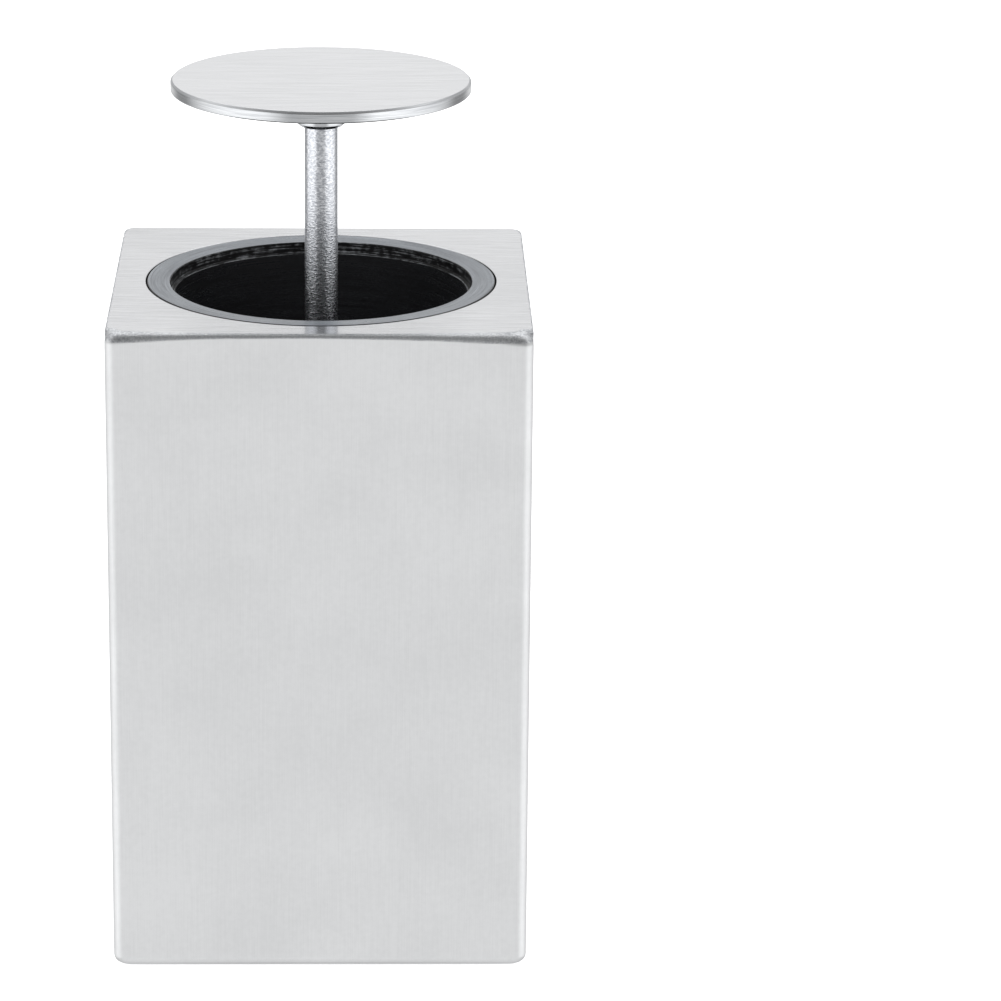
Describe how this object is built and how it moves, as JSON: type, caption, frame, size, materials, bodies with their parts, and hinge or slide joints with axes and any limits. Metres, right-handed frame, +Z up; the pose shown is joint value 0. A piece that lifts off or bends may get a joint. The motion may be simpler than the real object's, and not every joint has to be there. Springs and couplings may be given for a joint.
{
  "type": "toothpick dispenser",
  "caption": "Square brushed-steel toothpick dispenser: a round lid on a stem lifts a plate in the black cup, so the toothpicks rise out of its mouth.",
  "frame": {"origin": "centre of the bottom face of the non-slip pad, on the table", "axes": "+Z up along the stem, -Y towards the front face, +X to the right seen from the front"},
  "size_m": [0.05, 0.05, 0.105],
  "materials": {
    "brushed_steel": "satin, brushed in straight lines",
    "bright_steel": "turned and blasted, semi-bright",
    "black_plastic": "turned, satin",
    "black_rubber": "matt",
    "grey_foam": "closed-cell foam tape, matt"
  },
  "bodies": {
    "housing": {"wall_sleeve": "brushed_steel", "top_plate": "brushed_steel", "base_plate": "brushed_steel", "nonslip_pad": "black_rubber", "cup_sleeve": "black_plastic", "cup_floor": "black_plastic", "floor_screws": "bright_steel", "foam_disc": "grey_foam"},
    "slide_ring": {"friction_ring": "black_rubber"},
    "lid_lifter": {"lid": "brushed_steel", "lid_stud": "bright_steel", "collar": "bright_steel", "stem": "bright_steel", "lifter": "black_plastic", "lifter_washer": "bright_steel", "lifter_screw": "bright_steel"}
  },
  "joints": [
    {"name": "lift", "type": "slide", "parent": "housing", "child": "slide_ring", "axis": [0, 0, 1], "range_m": [-0.0248, 0]},
    {"name": "turn", "type": "hinge", "parent": "slide_ring", "child": "lid_lifter", "pos_m": [0, 0, 0.0343], "axis": [0, 0, 1], "continuous": true}
  ]
}
